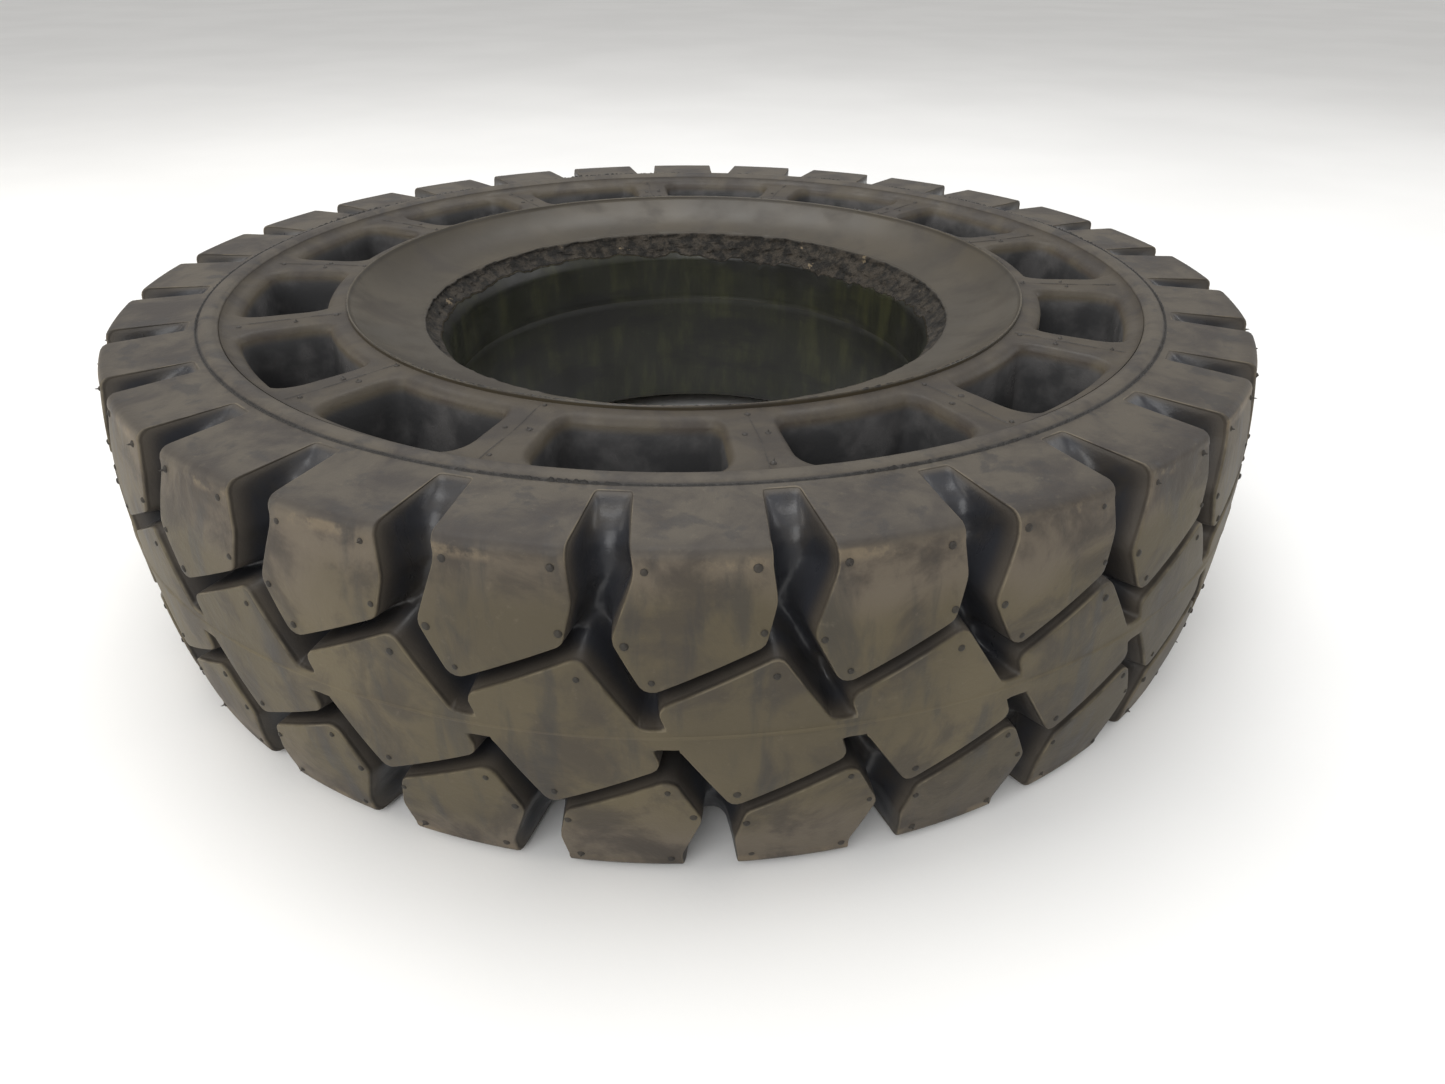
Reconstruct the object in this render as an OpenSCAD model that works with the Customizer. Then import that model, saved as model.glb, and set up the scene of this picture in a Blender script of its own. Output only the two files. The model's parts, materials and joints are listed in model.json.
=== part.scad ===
// Solid resilient tyre for an industrial truck, lying flat, with side apertures
// and a block tread. Three bonded rubber compounds round six steel bead hoops.
// Origin at the centre of the bore, on the mid-plane. +Z is the tyre's axis.
// The tread is unchanged when the tyre is turned over, so both sides are alike.

/* [Tyre size] */
// Diameter over the lugs at the mid-plane
tyre_d = 678; // [672:1:684]
// Width over the raised side bands
tyre_w = 172; // [168:1:176]
// Bore diameter, equal to the rim's nominal diameter
bore_d = 304.8; // [303:0.1:306]
// Width of the base between the rim's flanges
base_w = 127; // [124:1:130]

/* [Compounds] */
// Diameter where the hard base meets the soft cushion
base_d = 415; // [411:1:419]
// Diameter where the cushion meets the tread
cushion_d = 548; // [546:1:550]

/* [Tread] */
// Lugs round each shoulder, and blocks round the middle
lug_count = 28; // [28]
// Depth of the tread grooves at the mid-plane
groove_depth = 28; // [24:1:30]
// Width of the rib that links the middle blocks
link_w = 10; // [8:1:12]

/* [Apertures] */
// Apertures in each side
aperture_count = 14; // [12:1:14]
// Depth of each aperture below the side face
aperture_depth = 66; // [50:1:72]
// Length of an aperture round the tyre, in degrees
aperture_span = 19.8; // [18:0.1:21]
// Rounding of an aperture's inner corners, seen from the side
inner_corner = 17; // [10:1:18]
// Rounding of an aperture's outer corners, seen from the side
outer_corner = 14; // [6:1:16]
// Width of the bevel along an aperture's inner edge
aperture_bevel = 6; // [4:1:8]

/* [Bead hoops] */
// Hoops in each half of the base
hoops_per_side = 3; // [3]
// Distance between neighbouring hoops along the axis
hoop_pitch = 18; // [16:1:19]
// Diameter of the steel wire
wire_d = 2; // [1.6:0.1:2.2]
// Turns of wire along each side of a hoop's square section
wire_rows = 4; // [3:1:4]
// Rubber between the bore and the hoops
hoop_cover = 10; // [9:1:12]

/* [Hidden] */
$fn = 96;
half_w = tyre_w / 2;
tread_r = tyre_d / 2;
bore_r = bore_d / 2;
base_r = base_d / 2;
cushion_r = cushion_d / 2;
floor_r = tread_r - groove_depth;
pitch_angle = 360 / lug_count;
pitch = PI * tyre_d / lug_count;

// The side face between the heel's edge and the bands sits this far below the bands.
side_drop = 5.5;
side_z = half_w - side_drop;
// The heel's edge is a ring that stands a little above the side face.
ring_z = side_z + 2;
// The raised band carries on this far outside the cushion.
band_w = 11;
// The toe of the base is bevelled from the flange seat down into the bore.
toe_r = bore_r + 12.6;
toe_z = base_w / 2;
heel_edge_r = base_r - 1.5;

// The middle blocks sit this far round from the lugs on the upper shoulder.
block_shift = 3.56;

aperture_r1 = base_r + 6;
aperture_r2 = cushion_r - 6;
aperture_draft = 3;
// The outer edge, next to the raised band, is only just bevelled.
outer_bevel = 2.5;

hoop_r = bore_r + hoop_cover;
hoop_side = wire_d * wire_rows;

tread_rubber = [0.27, 0.25, 0.21];
cushion_rubber = [0.22, 0.21, 0.19];
base_rubber = [0.25, 0.24, 0.23];
bead_steel = [0.66, 0.55, 0.40];

// Adds the lower half of an outline to its upper half.
function mirrored(upper) = concat(
    upper,
    [for (i = [len(upper) - 1:-1:0]) [upper[i][0], -upper[i][1]]]
);

// Places a point of the tread pattern, drawn for a 76 mm pitch and 172 mm width.
function pattern(p) = [p[0] * pitch / 76, p[1] * tyre_w / 172];

// Points on an arc about c, from angle a to angle b.
function arc(c, r, a, b, steps) =
    [for (i = [0:steps]) let (t = a + (b - a) * i / steps) c + r * [cos(t), sin(t)]];

// Half the plan of one aperture: a slice of a ring with rounded corners, along +X.
// It runs a little past the long edges, which the bevels cut.
function aperture_half() =
    let (
        a = aperture_span / 2,
        r1 = aperture_r1 - 2,
        r2 = aperture_r2 + 2,
        inner = r1 + inner_corner,
        outer = r2 - outer_corner,
        inner_a = a - asin(inner_corner / inner),
        outer_a = a - asin(outer_corner / outer)
    )
    concat(
        arc([0, 0], r1, 0, inner_a, 3),
        arc(inner * [cos(inner_a), sin(inner_a)], inner_corner, inner_a + 180, a + 90, 4),
        arc(outer * [cos(outer_a), sin(outer_a)], outer_corner, a + 90, outer_a, 4),
        arc([0, 0], r2, outer_a, 0, 3)
    );

// Outline of one lug on the upper shoulder, across and up.
function lug_outline() = [
    for (p = [
        [-25, 90], [-23.8, 73], [-26, 62], [-32.2, 50], [-33, 44], [-29, 33],
        [-23.5, 25.5], [-21, 23.8], [-18, 24],
        [19.5, 41.7], [22, 43.5], [24, 46.5],
        [27.2, 58], [27.4, 65], [26.2, 73], [25, 90]
    ]) pattern(p)
];

// Half the outline of a middle block; the other half is this one turned half a turn.
function block_side() = [
    for (p = [
        [4.5, 37.5], [7.5, 37.5], [11, 34.5],
        [31, 4.5], [35.2, -5.5], [37.4, -12], [36.8, -15.5], [34.4, -18]
    ]) pattern(p)
];

// Stands a tread outline up on the circumference, at an angle from the front.
module block(angle, inner_r) {
    rotate([0, 0, angle])
        intersection() {
            crown_sector();
            translate([0, -inner_r, 0])
                rotate([90, 0, 0])
                    linear_extrude(height = tread_r + 5 - inner_r)
                        children();
        }
}

// Slice of the tyre's outer envelope, which trims the top and side of one lug.
module crown_sector() {
    rotate([0, 0, -90 - pitch_angle])
        rotate_extrude(angle = 2 * pitch_angle)
            polygon(mirrored([
                [cushion_r + 4, half_w - 3],
                [tread_r - 15, half_w - 3],
                [tread_r - 9.5, half_w - 5],
                [tread_r - 7, half_w - 9],
                [tread_r - 3.2, half_w - 32],
                [tread_r - 0.8, half_w - 50],
                [tread_r, half_w - 66]
            ]));
}

// Band under the lugs, with the rib that links the middle blocks.
module tread_band() {
    rotate_extrude()
        polygon(mirrored([
            [cushion_r, half_w],
            [cushion_r + 3, half_w],
            [cushion_r + band_w, half_w - 1.5],
            [cushion_r + band_w + 4, half_w - 2],
            [cushion_r + band_w + 6.5, half_w - 4],
            [floor_r - 11, half_w - 7],
            [floor_r - 4.5, half_w - 14],
            [floor_r - 1, half_w - 22],
            [floor_r, half_w - 32],
            [floor_r, link_w / 2 + 2],
            [floor_r + 2, link_w / 2],
            [tread_r - 1, link_w / 2]
        ]));
}

module shoulder_lugs() {
    for (i = [0:lug_count - 1])
        block(i * pitch_angle, cushion_r + band_w)
            polygon(lug_outline());
}

module middle_blocks() {
    turned = [for (p = block_side()) -p];
    for (i = [0:lug_count - 1])
        block(block_shift + i * pitch_angle, floor_r - 8)
            polygon(concat(block_side(), turned));
}

// Turns the upper side over onto the lower one, about a middle block.
module turned_over() {
    rotate([0, 0, block_shift])
        rotate([0, 180, 0])
            rotate([0, 0, -block_shift])
                children();
}

module tread_compound() {
    color(tread_rubber) {
        tread_band();
        shoulder_lugs();
        turned_over() shoulder_lugs();
        middle_blocks();
    }
}

// One aperture on the upper side, ready to be cut out.
module aperture() {
    half = aperture_half();
    plan = concat(half, [for (i = [len(half) - 2:-1:1]) [half[i][0], -half[i][1]]]);
    bevel_z = side_z - aperture_bevel;
    floor_z = side_z - aperture_depth;
    intersection() {
        translate([0, 0, floor_z])
            linear_extrude(height = aperture_depth + 5)
                polygon(plan);
        rotate([0, 0, -aperture_span])
            rotate_extrude(angle = 2 * aperture_span)
                polygon([
                    [aperture_r1 - 5, side_z + 5],
                    [aperture_r1 + aperture_bevel, bevel_z],
                    [aperture_r1 + aperture_bevel + aperture_draft, floor_z],
                    [aperture_r2 - outer_bevel - aperture_draft, floor_z],
                    [aperture_r2 - outer_bevel, side_z - outer_bevel],
                    [aperture_r2 + 5, side_z + 5]
                ]);
    }
}

// The ribs between the apertures line up with every second lug groove.
module side_apertures() {
    step = 360 / aperture_count;
    for (i = [0:aperture_count - 1])
        rotate([0, 0, -90 + pitch_angle / 2 + (i - 0.5) * step])
            aperture();
}

module cushion_compound() {
    color(cushion_rubber)
        difference() {
            rotate_extrude()
                polygon(mirrored([
                    [base_r, side_z],
                    [cushion_r - 4.5, side_z],
                    [cushion_r - 1.5, side_z + 1.5],
                    [cushion_r, side_z + 4]
                ]));
            side_apertures();
            turned_over() side_apertures();
        }
}

// Section of one hoop: wire laid in a square stack, cut through. Each turn is drawn
// with eight flats.
module hoop_section() {
    first = -(wire_rows - 1) / 2 * wire_d;
    square(hoop_side - wire_d, center = true);
    for (i = [0:wire_rows - 1], j = [0:wire_rows - 1])
        translate([first + i * wire_d, first + j * wire_d])
            circle(d = wire_d * 1.06, $fn = 8);
}

// Places a hoop's section, numbered from the lowest hoop to the highest.
module at_hoop(i) {
    z = (i - hoops_per_side + 0.5) * hoop_pitch;
    translate([hoop_r + hoop_side / 2, z])
        children();
}

module heel_compound() {
    color(base_rubber)
        rotate_extrude()
            difference() {
                polygon(mirrored([
                    [bore_r, toe_z - 16],
                    [bore_r + 4.5, toe_z - 9],
                    [toe_r, toe_z],
                    [toe_r + 10, toe_z + 2.2],
                    [toe_r + 21, toe_z + 5.8],
                    [toe_r + 31, toe_z + 11],
                    [heel_edge_r - 1, ring_z - 1.5],
                    [heel_edge_r, ring_z],
                    [base_r, ring_z]
                ]));
                for (i = [0:2 * hoops_per_side - 1])
                    at_hoop(i) hoop_section();
            }
}

module bead_hoop(i) {
    color(bead_steel)
        rotate_extrude()
            at_hoop(i) hoop_section();
}

module bead_hoop_1() bead_hoop(0);
module bead_hoop_2() bead_hoop(1);
module bead_hoop_3() bead_hoop(2);
module bead_hoop_4() bead_hoop(3);
module bead_hoop_5() bead_hoop(4);
module bead_hoop_6() bead_hoop(5);

tread_compound();
cushion_compound();
heel_compound();
bead_hoop_1();
bead_hoop_2();
bead_hoop_3();
bead_hoop_4();
bead_hoop_5();
bead_hoop_6();
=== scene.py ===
"""Looks of a solid resilient tyre lying flat: three moulded rubber compounds round steel bead hoops.

Lengths inside the mesh code are millimetres, and every mesh is scaled to metres as it is made. The
tyre's axis is +Z. The front, where a shoulder lug is centred, is -Y, and angles run from it to +X.
"""

import json
import math

import bpy
import numpy as np
from mathutils import Matrix, Vector, noise
from mathutils.geometry import delaunay_2d_cdt


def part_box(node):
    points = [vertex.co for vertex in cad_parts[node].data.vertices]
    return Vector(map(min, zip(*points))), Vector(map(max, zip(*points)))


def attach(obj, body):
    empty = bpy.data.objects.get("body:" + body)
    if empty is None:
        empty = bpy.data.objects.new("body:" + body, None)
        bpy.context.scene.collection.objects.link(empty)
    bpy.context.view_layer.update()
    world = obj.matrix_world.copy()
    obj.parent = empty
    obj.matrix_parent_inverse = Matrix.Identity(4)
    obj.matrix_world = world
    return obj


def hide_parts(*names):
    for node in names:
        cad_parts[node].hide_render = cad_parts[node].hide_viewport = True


MM = 0.001
SEED = 12

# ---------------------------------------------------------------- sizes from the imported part
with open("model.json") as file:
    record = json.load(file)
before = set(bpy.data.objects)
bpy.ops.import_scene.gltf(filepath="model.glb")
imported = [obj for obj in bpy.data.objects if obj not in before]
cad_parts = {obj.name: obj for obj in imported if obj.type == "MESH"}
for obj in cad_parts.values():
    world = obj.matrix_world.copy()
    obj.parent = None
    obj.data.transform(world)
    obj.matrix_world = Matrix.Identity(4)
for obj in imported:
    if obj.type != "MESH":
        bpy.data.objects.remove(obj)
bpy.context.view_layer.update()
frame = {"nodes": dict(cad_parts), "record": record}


def half_size(node):
    """Outer radius and half the height of a ring-shaped node, in millimetres."""
    low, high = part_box(node)
    return (high[0] - low[0]) / 2 / MM, (high[2] - low[2]) / 2 / MM


TREAD_R, HALF_W = half_size("tread_compound")
CUSHION_R = half_size("cushion_compound")[0]
BASE_R, RING_Z = half_size("heel_compound")
BORE_R = next(m["dims"]["r_mm"] for m in frame["record"]["mounts"] if m["name"] == "bore")
SIDE_Z = RING_Z - 2.0
LUG_Z = HALF_W - 2.0

LUGS = 28
APERTURES = 14
GROOVE_DEPTH = 28.0
FLOOR_R = TREAD_R - GROOVE_DEPTH
PITCH = 2 * math.pi * TREAD_R / LUGS
BLOCK_ANGLE = math.radians(3.56)
BLOCK_SHIFT = BLOCK_ANGLE * TREAD_R
LINK_HALF = 5.0
RIB_ANGLE = math.pi / LUGS

# A distance that stands for no limit.
ANY = 99.0

# Places along the tread's section, measured from the mid-plane along the surface.
SHOULDER_S = 77.0
SIDE_S = 87.0
GROOVE_END_S = 123.0
RING_S = 127.0
CREST_S = 137.0
BAND_R = CUSHION_R + 11


# ---------------------------------------------------------------- plane geometry
def rounded_loop(corners, radii, step):
    """A closed outline through corners, with each corner rounded, as points at even spacing."""
    corners = np.array(corners, float)
    path = []
    for i, corner in enumerate(corners):
        back = corners[i - 1] - corner
        ahead = corners[(i + 1) % len(corners)] - corner
        room = 0.48 * min(np.hypot(*back), np.hypot(*ahead))
        back /= np.hypot(*back)
        ahead /= np.hypot(*ahead)
        half = math.acos(np.clip(back @ ahead, -1, 1)) / 2
        cut = min(radii[i] / math.tan(half), room)
        radius = cut * math.tan(half)
        centre = corner + (back + ahead) / np.hypot(*(back + ahead)) * radius / math.sin(half)
        start = corner + back * cut - centre
        turn = math.pi - 2 * half
        turn *= 1 if back[0] * ahead[1] - back[1] * ahead[0] < 0 else -1
        count = max(2, int(abs(turn) * radius / (step * 0.5)) + 1)
        for k in range(count + 1):
            c, s = math.cos(turn * k / count), math.sin(turn * k / count)
            path.append(centre + [start[0] * c - start[1] * s, start[0] * s + start[1] * c])
    return resample(np.array(path), step)


def resample(path, step):
    """The same closed path with its points at even spacing."""
    closed = np.vstack([path, path[:1]])
    run = np.concatenate([[0], np.cumsum(np.hypot(*np.diff(closed, axis=0).T))])
    at = np.arange(int(run[-1] / step)) * run[-1] / int(run[-1] / step)
    return np.column_stack([np.interp(at, run, closed[:, k]) for k in (0, 1)])


def outward(loop):
    """Unit normals that point out of a counterclockwise loop."""
    along = np.roll(loop, -1, axis=0) - np.roll(loop, 1, axis=0)
    normal = np.column_stack([along[:, 1], -along[:, 0]])
    return normal / np.hypot(*normal.T)[:, None]


def distance_to_loop(points, loop):
    """Distance from each point to a closed loop, negative inside it."""
    a, b = loop, np.roll(loop, -1, axis=0)
    ab = b - a
    length2 = (ab ** 2).sum(axis=1)
    out = np.empty(len(points))
    for low in range(0, len(points), 2000):
        p = points[low:low + 2000, None, :]
        t = np.clip(((p - a) * ab).sum(axis=2) / length2, 0, 1)
        gap = p - (a + t[..., None] * ab)
        near = np.sqrt((gap ** 2).sum(axis=2).min(axis=1))
        above = (a[:, 1] > p[..., 1]) != (b[:, 1] > p[..., 1])
        with np.errstate(divide="ignore", invalid="ignore"):
            cross = a[:, 0] + (p[..., 1] - a[:, 1]) * ab[:, 0] / ab[:, 1]
        inside = (above & (p[..., 0] < cross)).sum(axis=1) % 2 == 1
        out[low:low + 2000] = np.where(inside, -near, near)
    return out


def smooth_min(a, b, reach):
    """The smaller of two distances, blended where they are nearly equal."""
    h = np.clip(reach - np.abs(a - b), 0, None) / reach
    return np.minimum(a, b) - h * h * reach / 4


class Relief:
    """One repeat of a moulded surface laid flat: outlines whose edges drop away to a depth."""

    def __init__(self, period):
        self.period = period
        self.random = np.random.default_rng(SEED)
        self.loops = []
        self.owners = []
        self.bands = []
        self.points = []
        self.cells = {}

    def add_loop(self, loop):
        """An outline, kept at every repeat that reaches this one."""
        kind = len({kind for kind, _ in self.owners})
        for shift in (-1, 0, 1, 2):
            moved = loop + [shift * self.period, 0]
            if moved[:, 0].max() > -30 and moved[:, 0].min() < self.period + 30:
                self.loops.append(moved)
                self.owners.append((kind, shift))

    def tints(self, points, repeats):
        """A random value for each outline all round the tyre, given to the points nearest it."""
        kinds = 1 + max(kind for kind, _ in self.owners)
        chosen = self.random.random((kinds + 1, repeats))
        nearest = self.distances(points).argmin(axis=0)
        kind = np.array([k for k, _ in self.owners] + [kinds] * len(self.bands))[nearest]
        shift = np.array([k for _, k in self.owners] + [0] * len(self.bands))[nearest]
        turns = (np.arange(repeats)[:, None] + shift) % repeats
        chosen[kinds] = 0.5
        return chosen[kind, turns]

    def distances(self, points):
        """Distances to each outline and band, one row each."""
        rows = [distance_to_loop(points, loop) for loop in self.loops]
        rows += [np.maximum(low - points[:, 1], points[:, 1] - high) for low, high in self.bands]
        return np.array(rows)

    def nearest(self, points):
        return self.distances(points).min(axis=0)

    def blended(self, points, reach):
        """Distance to the nearest outline, eased where two are equally near."""
        rows = np.sort(self.distances(points), axis=0)
        best = rows[0]
        for row in rows[1:4]:
            best = smooth_min(best, row, reach)
        return best

    def put(self, points, apart):
        """Adds the points that are no nearer than apart to one already there."""
        for x, y in points:
            x %= self.period
            cell = (int(x // 2), int(y // 2))
            near = [q for i in (-1, 0, 1) for j in (-1, 0, 1)
                    for q in self.cells.get((cell[0] + i, cell[1] + j), ())]
            if all((x - q[0]) ** 2 + (y - q[1]) ** 2 >= apart * apart for q in near):
                self.cells.setdefault(cell, []).append((x, y))
                self.points.append((x, y))

    def put_rings(self, levels, step, apart):
        """Lines of points along every outline, at each distance from it."""
        for level in levels:
            rings = [loop + outward(loop) * level for loop in self.loops]
            count = int(self.period / step)
            x = np.arange(count) * self.period / count
            for low, high in self.bands:
                rings += [np.column_stack([x, np.full(count, y)]) for y in (low - level, high + level)]
            for ring in rings:
                ring = ring[(ring[:, 0] > -0.01) & (ring[:, 0] < self.period - 0.01)]
                if len(ring):
                    self.put(ring[np.abs(self.nearest(ring) - level) < 0.12], apart)

    def put_row(self, y, step, low, high, apart):
        """A straight line of points, where their distance lies between low and high."""
        count = int(self.period / step)
        row = np.column_stack([np.arange(count) * self.period / count, np.full(count, float(y))])
        gap = self.nearest(row)
        self.put(row[(gap > low) & (gap < high)], apart)

    def put_grid(self, bottom, top, step, low, high, apart):
        """A staggered grid of points, where their distance lies between low and high."""
        rows = int((top - bottom) / (step * 0.87))
        count = int(self.period / step)
        for j in range(rows + 1):
            x = (np.arange(count) + 0.5 * (j % 2)) * self.period / count
            row = np.column_stack([x, np.full(count, bottom + (top - bottom) * j / rows)])
            gap = self.nearest(row)
            self.put(row[(gap > low) & (gap < high)], apart)

    def triangles(self, repeats):
        """The points of one repeat, and the triangles that join all the repeats round the tyre."""
        points = np.array(self.points)
        shaken = points + self.random.uniform(-0.01, 0.01, points.shape)
        first = np.flatnonzero(shaken[:, 0] < 12)
        last = np.flatnonzero(shaken[:, 0] > self.period - 12)
        ids = np.concatenate([np.arange(len(points)), first, last])
        copy = np.repeat([0, 1, -1], [len(points), len(first), len(last)])
        spread = shaken[ids] + np.column_stack([copy * self.period, np.zeros(len(ids))])
        result = delaunay_2d_cdt([Vector(p) for p in spread.tolist()], [], [], 0, 1e-7)
        source = np.array([group[0] for group in result[3]])
        corners = source[np.array(result[2])]
        middle = spread[corners, 0].mean(axis=1)
        # Slivers along a straight edge would turn into chords round the tyre.
        sliver = np.ptp(points[ids[corners], 1], axis=1) < 1e-6
        corners = corners[(middle >= 0) & (middle < self.period) & ~sliver]
        turns = np.arange(repeats)[:, None, None]
        return points, (ids[corners] + len(points) * ((copy[corners] + turns) % repeats)).reshape(-1, 3)

    def row_at(self, y):
        """The points of one straight row, in order."""
        points = np.array(self.points)
        row = np.flatnonzero(np.abs(points[:, 1] - y) < 0.001)
        return row[np.argsort(points[row, 0])]


# ---------------------------------------------------------------- meshes
class Shape:
    """Vertices in millimetres, triangles, and the values its materials read."""

    def __init__(self, *keys):
        self.vertices, self.faces = [], []
        self.values = {key: [] for key in keys}
        self.count = 0

    def add(self, vertices, faces, **values):
        """Adds a surface and returns the number of its first vertex."""
        first = self.count
        self.vertices.append(np.asarray(vertices, float))
        self.faces.append(np.asarray(faces, int).reshape(-1, 3) + first)
        for key, rows in self.values.items():
            rows.append(np.broadcast_to(np.asarray(values.get(key, 0.0), float), len(vertices)))
        self.count += len(vertices)
        return first

    def bridge(self, a, b):
        """Joins two closed rows of vertices that have the same count."""
        a2, b2 = np.roll(a, -1), np.roll(b, -1)
        self.faces.append(np.vstack([np.column_stack([a, a2, b2]), np.column_stack([a, b2, b])]))

    def close_along(self, top, low, section, **values):
        """Joins two rows of vertices by circles through the section's (radius, height) points."""
        placed = np.vstack(self.vertices)[top]
        around = placed[:, :2] / np.hypot(placed[:, 0], placed[:, 1])[:, None]
        row = top
        for radius, height in section:
            ring = np.column_stack([around * radius, np.full(len(around), float(height))])
            first = self.add(ring, np.empty((0, 3), int), **values)
            self.bridge(row, np.arange(first, first + len(top)))
            row = np.arange(first, first + len(top))
        self.bridge(row, low)

    def piece(self, name, node, slot):
        """The finished object, which rides on the tyre and stands for a node."""
        vertices, faces = np.vstack(self.vertices) * MM, np.vstack(self.faces)
        a, b, c = (vertices[faces[:, k]] for k in range(3))
        if np.einsum("ij,ij->i", a, np.cross(b, c)).sum() < 0:
            faces = faces[:, ::-1]
        mesh = bpy.data.meshes.new(name)
        mesh.vertices.add(len(vertices))
        mesh.vertices.foreach_set("co", vertices.ravel())
        mesh.loops.add(faces.size)
        mesh.loops.foreach_set("vertex_index", faces.ravel().astype(np.int32))
        mesh.polygons.add(len(faces))
        mesh.polygons.foreach_set("loop_start", np.arange(0, faces.size, 3, dtype=np.int32))
        mesh.polygons.foreach_set("use_smooth", np.ones(len(faces), bool))
        mesh.update(calc_edges=True)
        for key, rows in self.values.items():
            layer = mesh.attributes.new(key, "FLOAT", "POINT")
            layer.data.foreach_set("value", np.concatenate(rows).astype(np.float32))
        piece = bpy.data.objects.new(name, mesh)
        bpy.context.scene.collection.objects.link(piece)
        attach(piece, "root")
        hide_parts(node)
        return piece


def on_circle(angle, radius, height):
    """Points at angles from the front."""
    angle, radius, height = np.broadcast_arrays(angle, radius, height)
    return np.column_stack([radius * np.sin(angle), -radius * np.cos(angle), height])


def in_turn(vertices, row):
    """A closed row of vertices in the order of their angles from the front."""
    return row[np.argsort(np.arctan2(vertices[row, 0], -vertices[row, 1]))]


def turned_over(points):
    """The same points on the other side, turned half a turn about a middle block."""
    angle = np.arctan2(points[:, 0], -points[:, 1])
    return on_circle(2 * BLOCK_ANGLE - angle, np.hypot(points[:, 0], points[:, 1]), -points[:, 2])


def ragged(count, lumps, low, high, seed):
    """Heights of torn flash round a closed line: mostly near low, and near high in some stretches."""
    heights = []
    for turn in np.arange(count) * 2 * math.pi / count:
        spot = Vector((math.cos(turn), math.sin(turn), 0)) / (2 * math.pi)
        tooth = noise.fractal(spot * lumps + Vector((0, 0, seed)), 0.8, 2.2, 4)
        stretch = noise.noise(spot * 34 + Vector((0, 0, seed + 9)))
        reach = min(1.0, max(0.35, 0.5 + 1.3 * stretch))
        heights.append(low + (high - low) * reach * min(1.0, max(0.0, 0.6 + 0.9 * tooth)))
    return np.array(heights)


def fin(path, up, height, half_width, closed):
    """A thin ridge along a path, sunk a little at its foot. Returns vertices and triangles."""
    along = np.roll(path, -1, axis=0) - np.roll(path, 1, axis=0)
    if not closed:
        along[0], along[-1] = path[1] - path[0], path[-1] - path[-2]
    across = np.cross(along, up)
    across /= np.linalg.norm(across, axis=1)[:, None]
    height = np.broadcast_to(height, len(path))[:, None]
    foot = path - np.asarray(up) * 0.5
    rows = np.stack([foot - across * half_width, path + up * height, foot + across * half_width], axis=1)
    here = np.arange(len(path) if closed else len(path) - 1) * 3
    there = (here + 3) % (3 * len(path))
    faces = [np.column_stack(f) for k in (0, 1) for f in (
        (here + k, there + k, there + k + 1), (here + k, there + k + 1, here + k + 1))]
    return rows.reshape(-1, 3), np.vstack(faces)


def bump_shell(centre, up, radius, height, tip=0.0, sides=9):
    """A small round lump, drawn out to a thin tip where it has one."""
    up = np.asarray(up, float) / np.linalg.norm(up)
    side = np.cross(up, [0.31, 0.17, 0.93])
    side /= np.linalg.norm(side)
    other = np.cross(up, side)
    rings = [(radius * 1.12, -0.4), (radius, 0.1 * height), (radius * 0.86, 0.62 * height),
             (radius * 0.5, 0.93 * height)]
    top = height
    if tip:
        rings += [(radius * 0.3, height * 1.2), (radius * 0.2, height + tip * 0.6)]
        top = height + tip
    turn = np.arange(sides) * 2 * math.pi / sides
    rows = [centre + up * h + r * (np.cos(turn)[:, None] * side + np.sin(turn)[:, None] * other)
            for r, h in rings]
    vertices = np.vstack(rows + [[centre + up * top + side * tip * 0.25]])
    faces = []
    for k in range(len(rings) - 1):
        for j in range(sides):
            a, b = k * sides + j, k * sides + (j + 1) % sides
            faces += [(a, b, b + sides), (a, b + sides, a + sides)]
    last = (len(rings) - 1) * sides
    faces += [(last + j, last + (j + 1) % sides, len(vertices) - 1) for j in range(sides)]
    return vertices, faces


# ---------------------------------------------------------------- tread
GROOVE_WALL = np.array([
    (-1.0, 0), (-0.45, 0.08), (-0.15, 0.3), (0.0, 0.6), (0.2, 1.6), (2.4, 18.0),
    (3.3, 21.5), (4.5, 24.0), (6.0, 26.0), (8.0, 27.4), (10.5, GROOVE_DEPTH)
])
EDGE_LEVELS = (0.2, -0.15, -0.45, -1.0, 1.2, 2.4, 3.4, 4.8, 6.6, 8.8)


def crown_r(z):
    return TREAD_R - 7.0 * (np.abs(z) / SHOULDER_S) ** 2.6


def tread_section():
    """The tread's outer section and the groove floor under it: rows of (place, radius, height)."""
    rows = [(s, crown_r(s), s) for s in np.linspace(0, SHOULDER_S, 20)]
    for k in range(9):
        a = math.radians(9 + 81 * k / 8)
        rows.append((SHOULDER_S + 1.4 + (SIDE_S - SHOULDER_S - 1.4) * k / 8,
                     TREAD_R - 12.2 + 5.2 * math.cos(a), HALF_W - 8.2 + 5.2 * math.sin(a)))
    rows += [(GROOVE_END_S, BAND_R + 4, LUG_Z - 0.2), (RING_S, BAND_R, LUG_Z + 0.1)]
    rows += [(RING_S + BAND_R - r, r, HALF_W - drop) for r, drop in (
        (BAND_R - 1.5, 0.9), (BAND_R - 3, 0.3), (BAND_R - 5, 0.0), (BAND_R - 7.3, 0.25),
        (BAND_R - 9, 0.9), (BAND_R - 10, 1.7))]
    floor = [(0, FLOOR_R, 0), (53, FLOOR_R, 53), (66, FLOOR_R - 0.5, 60), (77, FLOOR_R - 2, 66),
             (87, FLOOR_R - 4, 70.5), (100, FLOOR_R - 7.5, 74.5), (112, FLOOR_R - 12, 77.5),
             (GROOVE_END_S, FLOOR_R - 18, 80), (CREST_S, FLOOR_R - 22, 81)]
    return np.array(rows), np.array(floor)


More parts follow.
